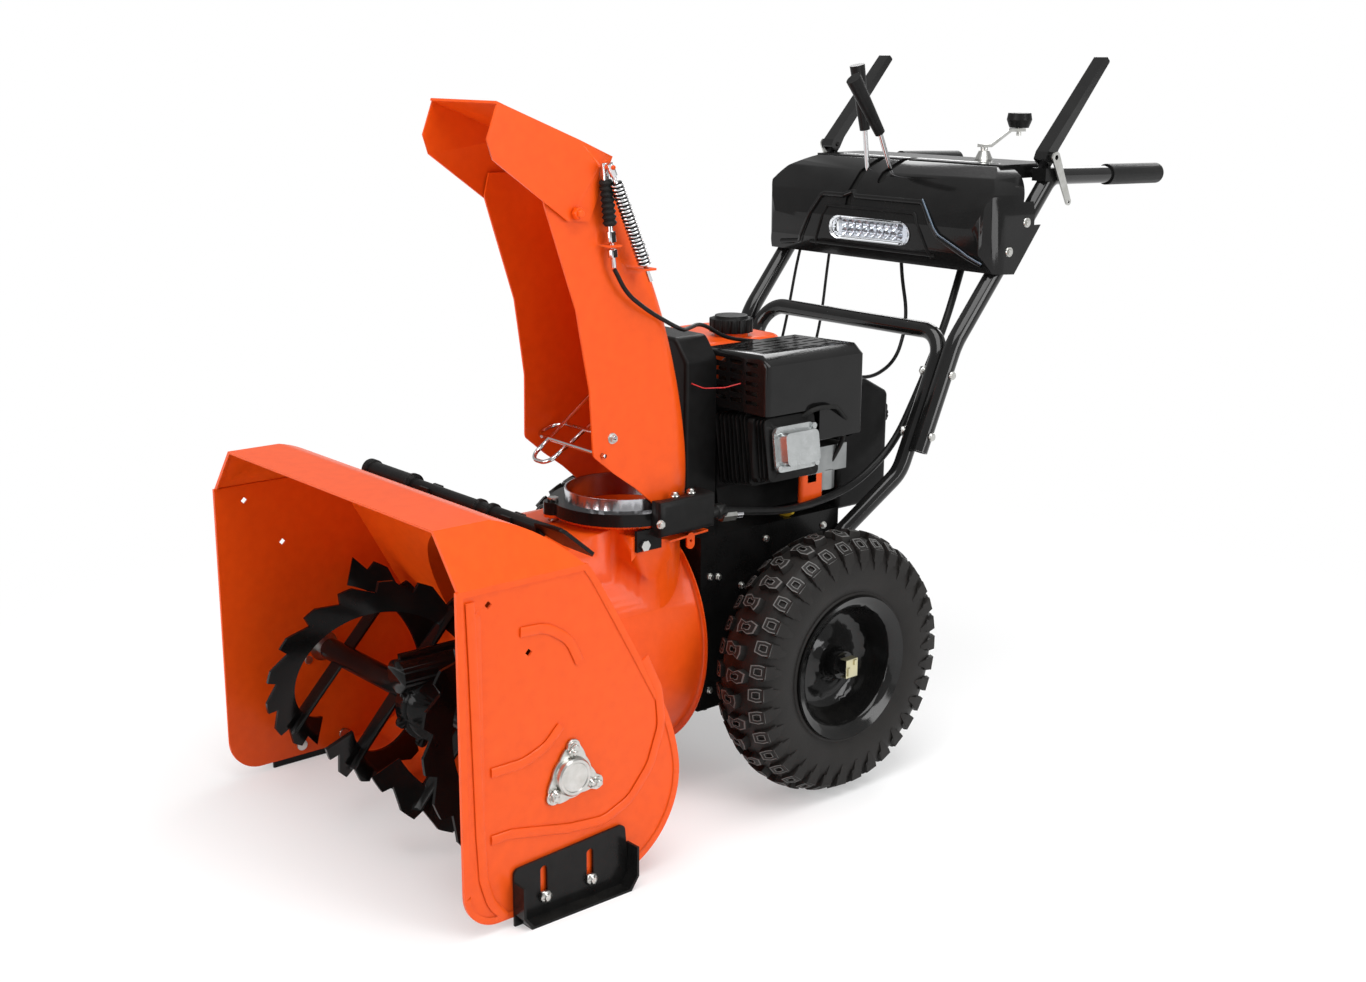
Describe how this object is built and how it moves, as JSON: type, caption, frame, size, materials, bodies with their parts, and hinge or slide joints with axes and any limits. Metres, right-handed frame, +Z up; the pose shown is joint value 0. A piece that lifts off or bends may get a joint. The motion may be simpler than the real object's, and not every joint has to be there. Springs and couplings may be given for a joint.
{
  "type": "walk-behind snow blower",
  "caption": "Two-stage walk-behind snow blower with serrated augers, turning discharge chute, small engine, lugged tyres and a dashboard with levers and crank",
  "frame": {"origin": "on the ground at the middle of the bounding box", "axes": "+Z up; -Y is the way the machine faces (auger opening), +Y the handles; +X the machine's left side"},
  "size_m": [0.688, 1.4944, 1.0712],
  "materials": {
    "orange_paint": "gloss powder coat",
    "black_paint": "satin powder coat",
    "black_plastic": "fine grain moulding",
    "steel": "machined",
    "zinc": "zinc plated",
    "chrome": "bright plated",
    "cast_alloy": "as cast",
    "muffler_steel": "heat tinted sheet",
    "rubber": "ribbed moulding",
    "tyre_rubber": "moulded tread",
    "lens": "clear moulding over bright lamps"
  },
  "bodies": {
    "machine": {"housing_wrap": "orange_paint", "side_plates": "orange_paint", "scraper_bar": "black_paint", "skid_shoes": "black_paint", "bearing_caps": "black_paint", "housing_bolts": "zinc", "impeller_housing": "orange_paint", "auger_gearbox": "cast_alloy", "frame_tub": "black_paint", "frame_cover": "black_paint", "shaft_bearings": "steel", "belt_cover": "black_plastic", "engine_block": "cast_alloy", "cylinder_head": "cast_alloy", "valve_cover": "zinc", "muffler": "muffler_steel", "muffler_guard": "black_paint", "carburettor": "cast_alloy", "carb_cover": "black_plastic", "fuel_tank": "orange_paint", "fan_housing": "orange_paint", "drive_belts": "rubber", "lower_handle": "black_paint", "upper_handles": "black_paint", "hand_grips": "rubber", "dashboard": "black_plastic", "headlight": "lens", "lever_brackets": "black_plastic", "chute_base_ring": "black_plastic", "chute_gear_case": "black_plastic", "tool_clips": "black_plastic", "frame_bolts": "zinc", "control_cables": "rubber", "deflector_cable": "rubber"},
    "auger": {"auger_shaft": "steel", "left_auger": "black_paint", "right_auger": "black_paint", "shear_bolts": "zinc"},
    "impeller_group": {"impeller_shaft": "steel", "impeller": "orange_paint", "impeller_pulley": "steel"},
    "crankshaft": {"engine_pulley": "steel"},
    "wheels": {"axle": "steel", "wheel_rims": "black_paint", "tyres": "tyre_rubber"},
    "chute": {"chute_ring": "steel", "chute_body": "orange_paint", "wire_guard": "chrome", "deflector_link": "zinc"},
    "hood": {"deflector": "orange_paint"},
    "crank": {"chute_crank": "zinc"},
    "knob": {"crank_knob": "black_plastic"},
    "tilt_lever": {"deflector_lever": "black_plastic"},
    "gear_lever": {"speed_lever": "black_plastic"},
    "left_clutch": {"left_clutch_lever": "black_paint"},
    "right_clutch": {"right_clutch_lever": "black_paint"},
    "tank_cap": {"fuel_cap": "black_plastic"},
    "starter": {"recoil_handle": "black_plastic"},
    "choke": {"choke_knob": "black_plastic"},
    "tool": {"cleanout_tool": "black_plastic"}
  },
  "joints": [
    {"name": "impeller_spin", "type": "hinge", "parent": "machine", "child": "impeller_group", "pos_m": [0, -0.34, 0.235], "axis": [0, 1, 0], "continuous": true},
    {"name": "auger_spin", "type": "hinge", "parent": "machine", "child": "auger", "pos_m": [0, -0.582, 0.18], "axis": [1, 0, 0], "continuous": true},
    {"name": "engine_spin", "type": "hinge", "parent": "machine", "child": "crankshaft", "pos_m": [0, -0.17, 0.49], "axis": [0, 1, 0], "continuous": true},
    {"name": "wheel_spin", "type": "hinge", "parent": "machine", "child": "wheels", "pos_m": [0, -0.061, 0.1995], "axis": [1, 0, 0], "continuous": true},
    {"name": "chute_turn", "type": "hinge", "parent": "machine", "child": "chute", "pos_m": [0.09, -0.314, 0.448], "axis": [0, 0, 1], "range_deg": [-95, 95], "deforming": ["deflector_cable"]},
    {"name": "crank_turn", "type": "hinge", "parent": "machine", "child": "crank", "pos_m": [0.09, 0.45, 0.906], "axis": [0, 0, 1], "range_deg": [-950, 950]},
    {"name": "crank_knob_spin", "type": "hinge", "parent": "crank", "child": "knob", "pos_m": [0.1, 0.525, 0.96], "axis": [0, 0, 1], "continuous": true},
    {"name": "deflector_tilt", "type": "hinge", "parent": "chute", "child": "hood", "pos_m": [0.09, -0.449, 0.872], "axis": [1, 0, 0], "range_deg": [0, 35], "deforming": ["deflector_link"]},
    {"name": "tilt_lever_turn", "type": "hinge", "parent": "machine", "child": "tilt_lever", "pos_m": [0, 0.349, 0.835], "axis": [-1, 0, 0], "range_deg": [0, 35]},
    {"name": "gear_lever_turn", "type": "hinge", "parent": "machine", "child": "gear_lever", "pos_m": [-0.05, 0.329, 0.835], "axis": [1, 0, 0], "range_deg": [-22, 22]},
    {"name": "left_clutch_squeeze", "type": "hinge", "parent": "machine", "child": "left_clutch", "pos_m": [0.235, 0.425, 0.918], "axis": [-1, 0, 0], "range_deg": [0, 44], "stiffness_Nm_per_rad": 0.8, "springref_deg": -20.05},
    {"name": "right_clutch_squeeze", "type": "hinge", "parent": "machine", "child": "right_clutch", "pos_m": [-0.235, 0.425, 0.918], "axis": [-1, 0, 0], "range_deg": [0, 44], "stiffness_Nm_per_rad": 0.8, "springref_deg": -20.05},
    {"name": "fuel_cap_turn", "type": "hinge", "parent": "machine", "child": "tank_cap", "pos_m": [0, -0.026, 0.656], "axis": [0, 0, 1], "range_deg": [0, 90]},
    {"name": "recoil_pull", "type": "slide", "parent": "machine", "child": "starter", "axis": [0, 1, 0], "range_m": [0, 0.45], "stiffness_N_per_m": 30, "springref_m": -0.2},
    {"name": "choke_turn", "type": "hinge", "parent": "machine", "child": "choke", "pos_m": [0.125, 0.18, 0.52], "axis": [0, 1, 0], "range_deg": [0, 80]},
    {"name": "tool_lift", "type": "slide", "parent": "machine", "child": "tool", "axis": [0, 0, 1], "range_m": [0, 0.08]}
  ],
  "couplings": [
    {"joint": "auger_spin", "follows": "impeller_spin", "ratio": 0.1},
    {"joint": "crank_turn", "follows": "chute_turn", "ratio": 10},
    {"joint": "tilt_lever_turn", "follows": "deflector_tilt", "ratio": 1}
  ]
}
